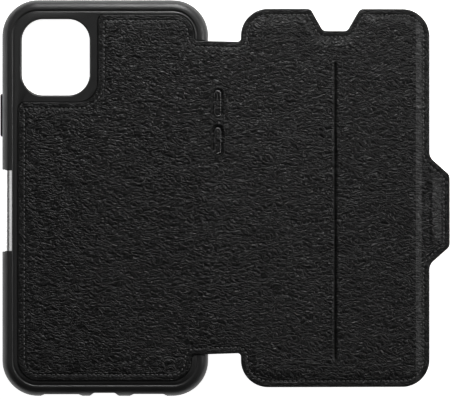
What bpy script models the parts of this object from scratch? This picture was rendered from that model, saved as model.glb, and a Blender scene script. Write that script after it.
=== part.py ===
"""Folio phone case, open with its leather side up: a moulded shell, a spine and a padded cover with a magnetic tab.

Lengths here are in millimetres and become metres where a mesh is made. +X runs from the shell to the cover, +Y to
the camera end and +Z up, and the shell stands on its front lip. Every piece is drawn as if the case lay flat. The
spine, cover and tab then turn down together about the shell's fold, until the tab rests on the table.
"""

import math

import bmesh
import bpy
from mathutils import Matrix, Vector

MM = 0.001
CLEAR = 0.3  # between pieces that don't touch
ARC_STEPS = 6  # segments in each rounded corner

# Phone and shell
PHONE_W, PHONE_L, PHONE_R = 75.7, 150.9, 11.5
PHONE_GAP = 0.2
WALL = 2.7
LIP_Z, LIP_OVERHANG = 0.85, 1.2
SHELL_LEFT = -88.1
SHELL_RIGHT = SHELL_LEFT + PHONE_W + 2 * (PHONE_GAP + WALL)
SHELL_TOP = PHONE_L / 2 + PHONE_GAP + WALL
SHELL_R = 13.9
SHELL_MID = (SHELL_LEFT + SHELL_RIGHT) / 2
RIM_Z, RIM_INSET, RIM_START_Z = 11.6, 3.8, 7.3  # the rounded back edge ends in a ridge
FLAT_Z = 11.5  # the rim's flat, inside its groove
RECESS_Z = 10.6  # floor of the leather's recess
PLATE_Z = 9.6  # inner face of the shell's back
CAMERA = (-80.3, -53.5, 40.6, 70.65)
CAMERA_R = 8.4
# Openings in the foot, as (name, x0, x1, depth of the dip), and in the hinge side, as (name, y0, y1)
PORTS = (("speaker", -71.3, -57.9, 0.7), ("charging", -51.8, -43.6, 1.25), ("microphone", -36.0, -24.4, 0.8))
PORT_Z, PORT_INSET, PORT_R, DIP_RAMP = (2.5, 7.7), 0.4, 1.6, 1.7
WINDOWS = (("volume", 15.2, 45.0), ("mute", 48.2, 54.8))
WINDOW_Z, WINDOW_R = (3.2, 8.2), 1.2

# Layers of the flat case, as (low, high)
TOP = 12.0
LEATHER_Z = (11.1, TOP)
BACKING_Z = (10.7, 11.0)
LINER_Z = (9.25, 9.5)
SPINE_BOARD_Z, SPINE_LINING_Z = (10.3, 11.0), (9.6, 10.2)
COVER_BOARD_Z, POCKET_Z, COVER_LINING_Z = (10.3, 11.0), (9.95, 10.2), (9.2, 9.75)
FOLD_LINING_Z = (10.72, 11.0)
LATCH_LINING_Z = (9.2, 10.1)
MAGNET_Z = (10.2, 11.0)

# Fold axes, each parallel to Y, as (x, z) of the flat case
SHELL_FOLD = (-6.24, 9.7)
SPINE_FOLD = (4.96, 10.5)
LATCH_FOLD = (80.8, 10.7)
# How far each stiff panel stops short of its fold
SHELL_FOLD_GAPS = (2.65, 1.2)
SPINE_FOLD_GAPS = (1.7, 1.6)
LATCH_FOLD_GAPS = (1.3, 1.1)
PLAY = 0.12  # between a fold's soft strip and the panels beside it

# Spine, cover and tab
SPINE_TOP, SPINE_BOTTOM = 62.0, -61.7
COVER_LEFT, COVER_RIGHT, COVER_TOP, COVER_R = 6.66, 81.4, 74.9, 10.0
NOTCH_X, NOTCH_TOP, NOTCH_FOOT, NOTCH_DEPTH, NOTCH_R = 43.85, 9.9, 4.85, 8.75, 2.2
CREASE_X, CREASE_LOW, CREASE_HIGH, CREASE_W = 43.5, -63.8, 53.9, 0.8
TAB_TIP, TAB_MID, TAB_HALF_TIP, TAB_HALF_BASE, TAB_R = 89.5, -5.1, 14.2, 21.3, 3.0
TAB_CUT_R = 0.6
MAGNET = (82.7, 86.3, -16.7, 8.7)

# Buttons
PAD_X, PAD_W, PAD_L = -2.95, 2.4, 10.3
PAD_UP_Y, PAD_DOWN_Y = 37.45, 22.7
NUB_Z = 7.0
BUTTON_Y, BUTTON_Z, BUTTON_L, BUTTON_H = 32.75, 5.0, 16.9, 3.6
BUTTON_OUT, BUTTON_STEP_X, BUTTON_IN = -88.95, -86.9, -86.1
BUTTON_FLANGE = 0.8

# Metal strike plate on the shell's free side
PLATE_LOW, PLATE_HIGH, PLATE_T = -20.9, 10.9, 0.8
PLATE_LIP_INSET = 2.1

# Stitching
SEAM_INSET, SEAM_R = 2.4, 0.7  # from the panel's edge, and the tightest turn
THREAD_W, THREAD_Z = 0.5, (11.62, 11.95)
CHANNEL_W, CHANNEL_Z = 0.9, 11.5
TURNED_EDGE = ((0.35, 0.0), (0.0, 0.25), (0.0, 0.5), (0.15, 0.75), (0.5, 0.9))  # leather: (inset, height)


def clear_scene():
    for obj in list(bpy.data.objects):
        bpy.data.objects.remove(obj)


def material(name, colour, roughness, metallic=0.0):
    made = bpy.data.materials.get(name)
    if made is None:
        made = bpy.data.materials.new(name)
        made.use_nodes = True
        shader = made.node_tree.nodes["Principled BSDF"]
        shader.inputs["Base Color"].default_value = (*colour, 1.0)
        shader.inputs["Roughness"].default_value = roughness
        shader.inputs["Metallic"].default_value = metallic
    return made


def polymer():
    return material("polymer", (0.03, 0.031, 0.033), 0.42)


def leather():
    return material("leather", (0.018, 0.018, 0.019), 0.5)


def lining():
    return material("lining", (0.03, 0.03, 0.032), 0.9)


def board():
    return material("board", (0.12, 0.11, 0.1), 0.8)


def thread():
    return material("thread", (0.02, 0.02, 0.022), 0.6)


def steel():
    return material("steel", (0.75, 0.75, 0.76), 0.25, 1.0)


# Outlines -----------------------------------------------------------------------------------------------------


def rounded(corners, inset=0.0, closed=True, least=0.05):
    """Points of the anticlockwise outline through (x, y, radius) corners, moved inwards by inset."""
    points = []
    for i, (x, y, radius) in enumerate(corners):
        here = Vector((x, y))
        arrive = (here - Vector(corners[i - 1][:2])).normalized()
        leave = (Vector(corners[(i + 1) % len(corners)][:2]) - here).normalized()
        if not closed and i == 0:
            arrive = leave
        if not closed and i == len(corners) - 1:
            leave = arrive
        normal_in, normal_out = Vector((-arrive.y, arrive.x)), Vector((-leave.y, leave.x))
        corner = here + (normal_in + normal_out) * inset / (1 + normal_in.dot(normal_out))
        turn = math.atan2(arrive.cross(leave), arrive.dot(leave))
        if radius == 0 or turn == 0:
            points.append(corner)
            continue
        side = math.copysign(1, turn)
        arc = max(radius - side * inset, least)
        start = corner - arrive * arc * math.tan(abs(turn) / 2)
        centre = start + normal_in * arc * side
        for k in range(ARC_STEPS + 1):
            points.append(centre + Matrix.Rotation(turn * k / ARC_STEPS, 2) @ (start - centre))
    return [tuple(p) for p in points]


def rectangle(x0, x1, y0, y1, radius):
    return [(x0, y0, radius), (x1, y0, radius), (x1, y1, radius), (x0, y1, radius)]


def beside(path, distance):
    """An open path moved to its left by distance, with mitred corners."""
    points = [Vector(p) for p in path]
    moved = []
    for i, here in enumerate(points):
        arrive = (here - points[i - 1]).normalized() if i else (points[1] - here).normalized()
        leave = (points[i + 1] - here).normalized() if i + 1 < len(points) else arrive
        normal_in, normal_out = Vector((-arrive.y, arrive.x)), Vector((-leave.y, leave.x))
        moved.append(tuple(here + (normal_in + normal_out) * distance / (1 + normal_in.dot(normal_out))))
    return moved


def strip_outline(path, width, reach=0.0):
    """Corners of a strip of this width centred on an open path, which it passes by reach at each end."""
    points = [Vector(p) for p in path]
    points[0] -= (points[1] - points[0]).normalized() * reach
    points[-1] += (points[-1] - points[-2]).normalized() * reach
    ring = beside(points, -width / 2) + beside(points, width / 2)[::-1]
    return [(x, y, 0) for x, y in ring]


# Solids -------------------------------------------------------------------------------------------------------


def turned(u, v, h, axis):
    return {"X": (h, u, v), "Y": (v, h, u), "Z": (u, v, h)}[axis]


def loft(name, rings, origin=(0, 0, 0)):
    """A closed solid through rings of points, bottom ring first, with its own origin."""
    mesh = bpy.data.meshes.new(name)
    bm = bmesh.new()
    loops = [[bm.verts.new((Vector(p) - Vector(origin)) * MM) for p in ring] for ring in rings]
    bm.faces.new(loops[0][::-1])
    bm.faces.new(loops[-1])
    for low, high in zip(loops, loops[1:]):
        for i in range(len(low)):
            j = (i + 1) % len(low)
            bm.faces.new((low[i], low[j], high[j], high[i]))
    bmesh.ops.dissolve_degenerate(bm, dist=1e-7, edges=bm.edges[:])
    bm.to_mesh(mesh)
    bm.free()
    mesh.shade_smooth()
    mesh.set_sharp_from_angle(angle=math.radians(32))
    obj = bpy.data.objects.new(name, mesh)
    obj.location = Vector(origin) * MM
    bpy.context.scene.collection.objects.link(obj)
    return obj


def slab(name, corners, levels, axis="Z", origin=(0, 0, 0)):
    """A solid whose outline is inset at each (inset, height) level, along the axis."""
    rings = [[turned(u, v, h, axis) for u, v in rounded(corners, inset)] for inset, h in levels]
    return loft(name, rings, origin)


def prism(name, corners, span, axis="Z", origin=(0, 0, 0)):
    return slab(name, corners, [(0, span[0]), (0, span[1])], axis, origin)


def finish(obj, look):
    obj.data.materials.append(look)
    return obj


def cut(obj, cutter):
    """Takes the cutter's shape out of obj. The cutter stays in the file as a hidden guide."""
    cutter.hide_render = True
    cutter.display_type = "WIRE"
    change = obj.modifiers.new(cutter.name, "BOOLEAN")
    change.operation = "DIFFERENCE"
    change.solver = "EXACT"
    change.object = cutter


def leather_slab(name, corners):
    levels = [(inset, LEATHER_Z[0] + rise) for inset, rise in TURNED_EDGE]
    return finish(slab(name, corners, levels), leather())


def stitch(name, panel, corners):
    """Sews along an open run of a panel's edge: a channel cut in the leather and the thread that lies in it."""
    path = rounded(corners, SEAM_INSET, closed=False, least=SEAM_R)
    channel = prism(f"cut_{name}_channel", strip_outline(path, CHANNEL_W, 1), (CHANNEL_Z, TOP + 1))
    cut(panel, channel)
    run = finish(prism(f"{name}_thread", strip_outline(path, THREAD_W), THREAD_Z), thread())
    return [run, channel]


# Frames: the folds' empties, which carry the pieces beyond them ------------------------------------------------


def droop():
    """The angle that lets the tab's lower edge down to the table."""
    reach = TAB_TIP - SHELL_FOLD[0]
    drop_needed = SHELL_FOLD[1] - 0.05
    below = SHELL_FOLD[1] - LATCH_LINING_Z[0]
    return math.asin(drop_needed / math.hypot(reach, below)) - math.atan2(below, reach)


def fold_frame(name, fold, parent=None, parent_fold=(0, 0)):
    frame = bpy.data.objects.new(name, None)
    frame.empty_display_size = 0.01
    frame.location = ((fold[0] - parent_fold[0]) * MM, 0, (fold[1] - parent_fold[1]) * MM)
    frame.parent = parent
    bpy.context.scene.collection.objects.link(frame)
    return frame


def carry(objects, frame, fold):
    """Hangs pieces drawn in the flat case on a fold's frame."""
    for obj in objects:
        obj.parent = frame
        obj.location -= Vector((fold[0], 0, fold[1])) * MM


# Shell --------------------------------------------------------------------------------------------------------


def shell_corners():
    return rectangle(SHELL_LEFT, SHELL_RIGHT, -SHELL_TOP, SHELL_TOP, SHELL_R)


def rim_levels():
    """The shell's outer profile from its front lip to the flat inside its back rim."""
    levels = [(1.1, 0.0), (0.45, 0.25), (0.1, 0.8), (0.0, 1.6), (0.0, RIM_START_Z)]
    for k in range(1, 7):
        angle = math.radians(15 * k)
        rise = (RIM_Z - RIM_START_Z) * math.sin(angle)
        levels.append((RIM_INSET * (1 - math.cos(angle)), RIM_START_Z + rise))
    return levels + [(4.15, 11.32), (4.65, 11.32), (4.9, FLAT_Z)]


def back_corners(right):
    """The back leather's outline, from the neck's upper end round to its lower end."""
    return [
        (right, SPINE_TOP + 0.2, 0),
        (-12.3, SPINE_TOP + 0.2, 1.6),
        (-12.3, 72.5, 7.5),
        (-50.2, 72.5, 2.4),
        (-50.2, 37.8, 8.0),
        (-81.7, 37.8, 2.4),
        (-81.7, -72.3, 8.0),
        (-13.3, -72.3, 8.0),
        (-13.3, SPINE_BOTTOM - 0.3, 1.6),
        (right, SPINE_BOTTOM - 0.3, 0),
    ]


def phone_corners(inset):
    half_w, half_l = PHONE_W / 2 + PHONE_GAP - inset, PHONE_L / 2 + PHONE_GAP - inset
    return rectangle(SHELL_MID - half_w, SHELL_MID + half_w, -half_l, half_l, PHONE_R - inset)


def scallop(name, x0, x1, depth):
    """A shallow dip in the shell's foot, with sloping ends."""
    ramp, foot = DIP_RAMP, -SHELL_TOP
    outline = [(x0 - ramp, foot - 1), (x1 + ramp, foot - 1), (x1 + ramp, foot), (x1, foot + depth)]
    outline += [(x0, foot + depth), (x0 - ramp, foot)]
    return prism(name, [(x, y, 0) for x, y in outline], (-1, 13))


def cut_foot(shell):
    """Speaker, charging and microphone openings in the shell's foot."""
    for name, x0, x1, depth in PORTS:
        cut(shell, scallop(f"cut_{name}_dip", x0, x1, depth))
        port = rectangle(*PORT_Z, x0 + PORT_INSET, x1 - PORT_INSET, PORT_R)
        cut(shell, prism(f"cut_{name}_port", port, (-SHELL_TOP - 2, -SHELL_TOP + WALL + 1), "Y"))


def cut_sides(shell):
    """Key windows in the hinge side, and the stepped slot of the side button."""
    for name, y0, y1 in WINDOWS:
        window = rectangle(y0, y1, *WINDOW_Z, WINDOW_R)
        cut(shell, prism(f"cut_{name}_window", window, (SHELL_RIGHT - 4, SHELL_RIGHT + 1), "X"))
    half_l, half_h = BUTTON_L / 2 + CLEAR, BUTTON_H / 2 + CLEAR
    slot = rectangle(BUTTON_Y - half_l, BUTTON_Y + half_l, BUTTON_Z - half_h, BUTTON_Z + half_h, 1.9)
    cut(shell, prism("cut_button_slot", slot, (SHELL_LEFT - 1, SHELL_LEFT + WALL + 0.5), "X"))
    step = [(y + math.copysign(BUTTON_FLANGE, y - BUTTON_Y), z + math.copysign(BUTTON_FLANGE, z - BUTTON_Z), r)
            for y, z, r in slot]
    cut(shell, prism("cut_button_step", step, (BUTTON_STEP_X - CLEAR, SHELL_LEFT + WALL + 0.5), "X"))


def plate_path():
    """The strike plate's outer face as (z, x) points, front lip first."""
    points = [(0.05, SHELL_LEFT + PLATE_LIP_INSET)]
    for inset, z in rim_levels():
        if z <= RIM_Z and inset <= RIM_INSET:
            points.append((max(z - 0.05, 0.05), SHELL_LEFT + inset + 0.05))
    return points


def plate_band(outside, inside):
    """Corners of a band that follows the strike plate's face, from outside to inside of it."""
    path = plate_path()
    ring = beside(path, -outside) + beside(path, inside)[::-1]
    return [(z, x, 0) for z, x in ring]


def make_shell():
    shell = finish(slab("shell", shell_corners(), rim_levels()), polymer())
    pocket = [(LIP_OVERHANG, -1), (LIP_OVERHANG, 0.35), (0, LIP_Z), (0, PLATE_Z)]
    cut(shell, slab("cut_phone", phone_corners(0), pocket))
    cut(shell, slab("cut_recess", back_corners(-4), [(-0.2, RECESS_Z), (-0.2, TOP + 1)]))
    lens_levels = [(0, 8), (0, 11.0), (-0.5, FLAT_Z), (-0.5, TOP + 1)]
    cut(shell, slab("cut_camera", rectangle(*CAMERA, CAMERA_R), lens_levels))
    cut_foot(shell)
    cut_sides(shell)
    bed = prism("cut_plate_bed", plate_band(2.5, PLATE_T + 0.25), (PLATE_LOW - CLEAR, PLATE_HIGH + CLEAR), "Y")
    cut(shell, bed)
    return shell


def make_strike_plate():
    return finish(prism("strike_plate", plate_band(0, PLATE_T), (PLATE_LOW, PLATE_HIGH), "Y"), steel())


def make_side_button():
    half_l, half_h = BUTTON_L / 2, BUTTON_H / 2
    face = rectangle(BUTTON_Y - half_l, BUTTON_Y + half_l, BUTTON_Z - half_h, BUTTON_Z + half_h, 1.6)
    wide = -BUTTON_FLANGE + 0.1
    levels = [(0.3, BUTTON_OUT), (0, BUTTON_OUT + 0.3), (0, BUTTON_STEP_X), (wide, BUTTON_STEP_X), (wide, BUTTON_IN)]
    origin = (BUTTON_OUT, BUTTON_Y, BUTTON_Z)
    look = material("button_rubber", (0.012, 0.012, 0.013), 0.55)
    return finish(slab("side_button", face, levels, "X", origin), look)


def make_back():
    """The layers on the shell's back, and the liner under the phone."""
    edge = SHELL_FOLD[0] - SHELL_FOLD_GAPS[0]
    panel = leather_slab("back_leather", back_corners(edge))
    stitch("back_seam", panel, back_corners(edge))
    backing = slab("back_padding_sheet", back_corners(edge), [(0.8, BACKING_Z[0]), (0.8, BACKING_Z[1])])
    liner = prism("phone_bed_liner", phone_corners(1.5), LINER_Z)
    x0, x1, y0, y1 = CAMERA
    cut(liner, prism("cut_liner_camera", rectangle(x0 - 1, x1 + 1, y0 - 1, y1 + 1, CAMERA_R + 1), (8, 10.5)))
    finish(backing, material("foam", (0.05, 0.05, 0.052), 0.95))
    finish(liner, lining())


# Spine --------------------------------------------------------------------------------------------------------


def spine_corners(inset=0.0):
    x0, x1 = SHELL_FOLD[0] + SHELL_FOLD_GAPS[1] + inset, SPINE_FOLD[0] - SPINE_FOLD_GAPS[0] - inset
    return rectangle(x0, x1, SPINE_BOTTOM + inset, SPINE_TOP - inset, 0.2)


def pad_corners(y, grow=0.0):
    half_w, half_l = PAD_W / 2 + grow, PAD_L / 2 + grow
    return rectangle(PAD_X - half_w, PAD_X + half_w, y - half_l, y + half_l, half_w - 0.01)


def make_spine():
    layers = [
        leather_slab("spine_leather", spine_corners()),
        finish(prism("spine_stiffener", spine_corners(0.3), SPINE_BOARD_Z), board()),
        finish(prism("spine_lining", spine_corners(0.2), SPINE_LINING_Z), lining()),
    ]
    guides = []
    for name, y in (("up", PAD_UP_Y), ("down", PAD_DOWN_Y)):
        hole = prism(f"cut_volume_{name}", pad_corners(y, CLEAR), (SPINE_LINING_Z[0] - 1, TOP + 1))
        guides.append(hole)
        for layer in layers:
            cut(layer, hole)
    corners = [(x, y, 0) for x, y, _ in spine_corners()]
    lower = stitch("spine_lower_seam", layers[0], corners[:2])
    upper = stitch("spine_upper_seam", layers[0], corners[2:])
    return layers + guides + lower + upper


def make_pads():
    """Volume keys: a leather-faced pad with a nub that reaches through the shell's window when the case is shut."""
    pads = []
    for name, y in (("up", PAD_UP_Y), ("down", PAD_DOWN_Y)):
        levels = [(0.4, NUB_Z), (0.1, NUB_Z + 0.3), (0, TOP - 0.35), (0.12, TOP - 0.12), (0.4, TOP)]
        pad = slab(f"volume_{name}_pad", pad_corners(y), levels, "Z", (PAD_X, y, TOP))
        pads.append(finish(pad, leather()))
    return pads


# Cover and tab ------------------------------------------------------------------------------------------------


def tab_edge(x):
    """Upper and lower edge of the tab at this x."""
    t = (x - COVER_RIGHT) / (TAB_TIP - COVER_RIGHT)
    half = TAB_HALF_BASE + (TAB_HALF_TIP - TAB_HALF_BASE) * t
    return TAB_MID + half, TAB_MID - half


def cover_corners():
    """The cover's outline with its notch, cut back where the tab's fold begins."""
    back = LATCH_FOLD[0] - LATCH_FOLD_GAPS[0]
    high, low = TAB_MID + TAB_HALF_BASE + 0.3, TAB_MID - TAB_HALF_BASE - 0.3
    foot = COVER_TOP - NOTCH_DEPTH
    return [
        (COVER_LEFT, -COVER_TOP, COVER_R),
        (COVER_RIGHT, -COVER_TOP, COVER_R),
        (COVER_RIGHT, low, TAB_CUT_R),
        (back, low, TAB_CUT_R),
        (back, high, TAB_CUT_R),
        (COVER_RIGHT, high, TAB_CUT_R),
        (COVER_RIGHT, COVER_TOP, COVER_R),
        (NOTCH_X + NOTCH_TOP, COVER_TOP, NOTCH_R),
        (NOTCH_X + NOTCH_FOOT, foot, NOTCH_R),
        (NOTCH_X - NOTCH_FOOT, foot, NOTCH_R),
        (NOTCH_X - NOTCH_TOP, COVER_TOP, NOTCH_R),
        (COVER_LEFT, COVER_TOP, COVER_R),
    ]


def cover_runs():
    """Corners of the cover's two seams, below the tab and above it. Each ends at the spine."""
    corners = [c for c in cover_corners() if c[2] != TAB_CUT_R]
    tab_high, tab_low = tab_edge(COVER_RIGHT)
    lower = [(COVER_LEFT, SPINE_BOTTOM, 0)] + corners[:2] + [(COVER_RIGHT, tab_low - 1, 0)]
    upper = [(COVER_RIGHT, tab_high + 1, 0)] + corners[2:] + [(COVER_LEFT, SPINE_TOP, 0)]
    return (("lower", lower), ("upper", upper))


def make_cover():
    skin = leather_slab("cover_leather", cover_corners())
    seams = []
    for name, corners in cover_runs():
        seams += stitch(f"cover_{name}_seam", skin, corners)
    crease = rectangle(CREASE_X - CREASE_W / 2, CREASE_X + CREASE_W / 2, CREASE_LOW, CREASE_HIGH, 0.3)
    groove = prism("cut_crease", crease, (TOP - 0.4, TOP + 1))
    cut(skin, groove)
    slit = prism("cut_pocket_slit", crease, (COVER_LINING_Z[0] - 1, COVER_BOARD_Z[1] + 0.05))
    layers = [
        finish(slab("cover_board", cover_corners(), [(0.8, z) for z in COVER_BOARD_Z]), board()),
        finish(slab("card_pocket_lining", cover_corners(), [(3.2, z) for z in POCKET_Z]), lining()),
        finish(slab("cover_lining", cover_corners(), [(0.4, z) for z in COVER_LINING_Z]), lining()),
    ]
    cut(layers[0], slit)
    cut(layers[2], slit)
    return [skin] + layers + seams + [groove, slit]


def latch_corners(start=0.0):
    """The tab's outline, from a little way out from its fold."""
    x0 = LATCH_FOLD[0] + LATCH_FOLD_GAPS[1] + start
    high, low = tab_edge(x0)
    tip_high, tip_low = tab_edge(TAB_TIP)
    return [(x0, low, 0.3), (TAB_TIP, tip_low, TAB_R), (TAB_TIP, tip_high, TAB_R), (x0, high, 0.3)]


def make_latch():
    skin = leather_slab("latch_leather", latch_corners())
    seams = stitch("latch_seam", skin, latch_corners(SEAM_INSET * 0.8))
    lower = slab("latch_lining", latch_corners(), [(0.3, LATCH_LINING_Z[0]), (0, 9.5), (0, LATCH_LINING_Z[1])])
    magnet = prism("latch_magnet", rectangle(*MAGNET, 0.6), MAGNET_Z)
    return [
        skin,
        finish(lower, leather()),
        finish(magnet, material("magnet", (0.3, 0.3, 0.31), 0.4, 1.0)),
    ] + seams


# Soft strips across the folds ---------------------------------------------------------------------------------


def fold_strip(name, fold, gaps, y_span, z_span, look, bend=0.0, steps=6):
    """A strip of leather or lining across a fold, bent through an angle about the fold's axis."""
    x0, x1 = -gaps[0] + PLAY, gaps[1] - PLAY
    rings = []
    for k in range(steps + 1):
        x = x0 + (x1 - x0) * k / steps
        angle = bend * max(x, 0) / x1
        ring = []
        for y, z in ((y_span[0], z_span[0]), (y_span[1], z_span[0]), (y_span[1], z_span[1]), (y_span[0], z_span[1])):
            rise = z - fold[1]
            ring.append((
                fold[0] + x * math.cos(angle) + rise * math.sin(angle),
                y,
                fold[1] - x * math.sin(angle) + rise * math.cos(angle),
            ))
        rings.append(ring)
    return finish(loft(name, rings), look)


def make_folds(angle):
    """Strips across the three folds. Those of the shell's fold stay in place, and the others are returned."""
    neck = (SPINE_BOTTOM, SPINE_TOP)
    tab = (TAB_MID - TAB_HALF_BASE + 0.2, TAB_MID + TAB_HALF_BASE - 0.2)
    fold_strip("shell_fold_leather", SHELL_FOLD, SHELL_FOLD_GAPS, neck, LEATHER_Z, leather(), angle)
    fold_strip("shell_fold_lining", SHELL_FOLD, SHELL_FOLD_GAPS, neck, FOLD_LINING_Z, lining(), angle)
    spine_side = [
        fold_strip("spine_fold_leather", SPINE_FOLD, SPINE_FOLD_GAPS, neck, LEATHER_Z, leather()),
        fold_strip("spine_fold_lining", SPINE_FOLD, SPINE_FOLD_GAPS, neck, FOLD_LINING_Z, lining()),
    ]
    cover_side = [
        fold_strip("latch_fold_leather", LATCH_FOLD, LATCH_FOLD_GAPS, tab, LEATHER_Z, leather()),
        fold_strip("latch_fold_lining", LATCH_FOLD, LATCH_FOLD_GAPS, tab, FOLD_LINING_Z, lining()),
    ]
    return spine_side, cover_side


def main():
    clear_scene()
    angle = droop()
    make_shell()
    make_strike_plate()
    make_side_button()
    make_back()
    spine_strips, cover_strips = make_folds(angle)

    spine_frame = fold_frame("shell_fold_axis", SHELL_FOLD)
    cover_frame = fold_frame("spine_fold_axis", SPINE_FOLD, spine_frame, SHELL_FOLD)
    latch_frame = fold_frame("latch_fold_axis", LATCH_FOLD, cover_frame, SPINE_FOLD)
    carry(make_spine() + make_pads() + spine_strips, spine_frame, SHELL_FOLD)
    carry(make_cover() + cover_strips, cover_frame, SPINE_FOLD)
    carry(make_latch(), latch_frame, LATCH_FOLD)
    spine_frame.rotation_euler.y = angle


main()
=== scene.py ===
"""Looks of the phone folio case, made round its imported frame.

Shapes are worked out in millimetres on the flat case, and then turned with the droop of the open case.
A mesh is scaled to metres when it is made.
"""

import math
from collections import namedtuple

import bpy
import numpy as np
from mathutils import Matrix, Vector
from mathutils.geometry import delaunay_2d_cdt


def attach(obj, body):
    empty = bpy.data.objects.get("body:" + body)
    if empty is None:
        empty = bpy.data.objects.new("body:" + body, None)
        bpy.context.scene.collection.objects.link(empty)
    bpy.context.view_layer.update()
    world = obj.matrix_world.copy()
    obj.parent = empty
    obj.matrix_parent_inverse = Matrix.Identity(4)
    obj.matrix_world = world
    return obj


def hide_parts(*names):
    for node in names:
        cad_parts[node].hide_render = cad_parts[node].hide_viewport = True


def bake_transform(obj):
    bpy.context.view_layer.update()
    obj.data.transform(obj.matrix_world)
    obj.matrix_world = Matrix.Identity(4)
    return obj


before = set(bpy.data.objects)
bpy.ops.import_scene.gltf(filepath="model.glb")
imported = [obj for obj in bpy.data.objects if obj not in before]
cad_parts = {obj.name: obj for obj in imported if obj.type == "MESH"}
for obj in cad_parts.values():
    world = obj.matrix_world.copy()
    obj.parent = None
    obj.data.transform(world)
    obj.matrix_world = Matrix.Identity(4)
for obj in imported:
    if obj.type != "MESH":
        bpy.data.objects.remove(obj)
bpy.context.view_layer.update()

MM = 0.001

# Driving sizes ----------------------------------------------------------------

TOP = 12.0  # the leather's outer face
DROOP = math.radians(5.4856)  # the spine and cover hang down to the table from the shell's edge
DROOP_START, DROOP_WIDTH = -0.9, 2.0  # the bend of the droop, across the shell's fold
SHELL_FOLD = (-6.24, 9.7)  # x and z of each fold's axis in the flat case
SPINE_FOLD = (4.96, 10.5)
LATCH_FOLD = (80.8, 10.7)
SPINE_SPLIT = 1.2  # the skin's pieces meet here, on the rigid part of the spine
CREASE = (43.45, -63.8, 53.2)  # x, and the lower and upper end of the card slot's crease
CUTS = (SPINE_SPLIT, CREASE[0])  # a skin's three pieces end here
SEAM = 2.4  # from the edge to the stitches
PITCH = 1.77
STITCH_LIFT = 0.12
RISE_START, RISE_WIDTH = 3.05, 2.4  # from the edge to the padding, and the slope up to it
BEVEL = (76.1, 78.0)  # x of that slope along the cover's free edge
PADS = ((-2.95, 37.45, "volume_up"), (-2.95, 22.7, "volume_down"))
PAD_HALF = (1.08, 4.95)
PAD_FACE, PAD_FOOT = TOP - 0.2, 7.0
MAGNET = (82.75, 86.0, -16.8, 8.2)  # x0, x1, y0 and y1 of its bulge

SHELL = (-88.1, -6.6, -78.35, 78.35, 14.15)  # x0, x1, y0, y1 and corner radius
WALL = 2.7
PHONE = (75.7, 150.9, 11.5, 0.2)  # width, length, corner radius and gap
RECESS_Z, PHONE_TOP = 10.6, 9.6  # floor of the leather's recess, and roof of the phone's space
RECESS_GAP = 0.32
CAMERA = (-80.3, -53.5, 40.6, 70.65, 8.4)
PLATE = (-20.9, 10.9, 0.8)  # lower and upper end, and thickness, of the strike plate
BUTTON = (32.75, 5.0, 16.9, 3.6)  # y and z of its middle, length and height
BUTTON_OUT, BUTTON_STEP, BUTTON_BACK = -88.95, -86.9, -86.1  # x of its face, its flange and its back
BUTTON_FLANGE = 0.7
SIDE_WINDOWS = ((15.2, 45.0), (48.2, 54.8))  # y of the openings for the volume keys and the mute switch
PORTS = ((-71.3, -57.9, 0.7), (-51.8, -43.6, 1.25), (-36.0, -24.4, 0.8))  # x0, x1 and depth of a dip
DIP_SLOPE = 1.7

SKIN_CORNERS = [
    (6.3, -61.4, 1.4), (6.3, -74.9, 10.8), (81.4, -74.9, 10.8), (81.4, -26.4, 4.6), (89.5, -19.3, 3),
    (89.5, 9.1, 3), (81.4, 16.2, 4.6), (81.4, 74.9, 10.8), (53.75, 74.9, 2.2), (48.65, 66.15, 2.2),
    (38.95, 66.15, 2.2), (33.95, 74.9, 2.2), (6.3, 74.9, 10.8), (6.3, 61.8, 1.4), (-12.3, 62.2, 1.6),
    (-12.3, 72.5, 7.5), (-50.2, 72.5, 2.4), (-50.2, 37.8, 8), (-81.7, 37.8, 2.4), (-81.7, -72.3, 8),
    (-13.3, -72.3, 8), (-13.3, -62.0, 1.6),
]
TAB_CORNERS = SKIN_CORNERS[3:7]

# Folds that the leather throws where it is drawn over the volume keys: x, y, slope, reach and rise
STRAINS = (
    (-3.0, 31.3, -0.42, 9.0, 0.16), (-3.0, 29.9, -0.62, 12.0, 0.18), (-2.6, 44.6, 0.5, 9.0, 0.08),
    (-3.0, 15.8, -0.35, 9.0, 0.12), (-3.0, 46.4, 0.75, 13.0, 0.07), (-3.2, 14.4, -0.6, 12.0, 0.06),
)


# Outlines ---------------------------------------------------------------------


# One rounded corner. side is 1 where the outline turns left, and turn is its signed angle
Arc = namedtuple("Arc", "start end centre radius side turn")


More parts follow.
